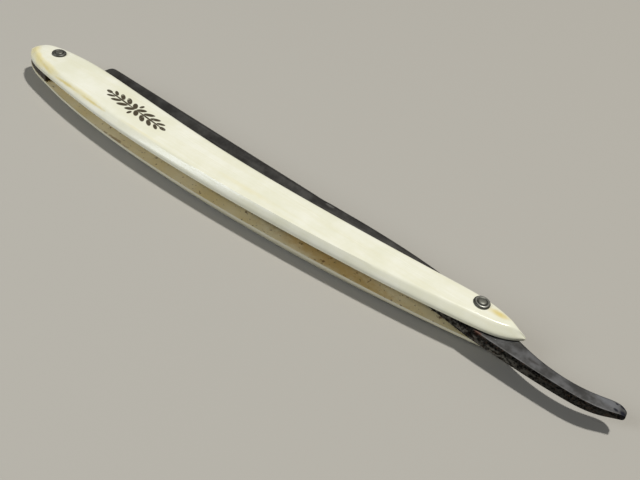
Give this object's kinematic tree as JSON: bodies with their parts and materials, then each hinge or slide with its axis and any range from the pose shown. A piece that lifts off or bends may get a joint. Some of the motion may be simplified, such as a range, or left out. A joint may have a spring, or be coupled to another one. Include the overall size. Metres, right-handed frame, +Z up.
{
  "type": "straight razor",
  "caption": "Folding straight razor, closed: a hollow-ground steel blade with a curved tail, pivoted between two slim ivory-coloured scales over a tapered wedge.",
  "frame": {"origin": "middle of the underside of the closed razor's bounding box, on the surface it lies on", "axes": "+X along the razor towards the tail of the blade, +Y towards the spine side of the closed blade, +Z up through the front scale, parallel to the pins"},
  "size_m": [0.1792, 0.0212, 0.0102],
  "materials": {
    "patinated_steel": "aged grey patina, rust mottling on the tang",
    "ivory_scale": "polished, ivory-coloured, slightly yellowed",
    "dark_wedge": "dark, dull",
    "nickel_silver": "tarnished",
    "brass_washer": "tarnished"
  },
  "bodies": {
    "handle": {"front_scale": "ivory_scale", "back_scale": "ivory_scale", "wedge": "dark_wedge", "pivot_pin": "nickel_silver", "wedge_pin": "nickel_silver", "front_pivot_collar": "nickel_silver", "back_pivot_collar": "nickel_silver", "front_wedge_collar": "nickel_silver", "back_wedge_collar": "nickel_silver", "front_pivot_washer": "brass_washer", "back_pivot_washer": "brass_washer"},
    "blade": {"blade": "patinated_steel"}
  },
  "joints": [
    {"name": "blade_pivot", "type": "hinge", "parent": "handle", "child": "blade", "pos_m": [0.05345, 0.00165, 0.0051], "axis": [0, 0, -1], "range_deg": [0, 335]}
  ]
}
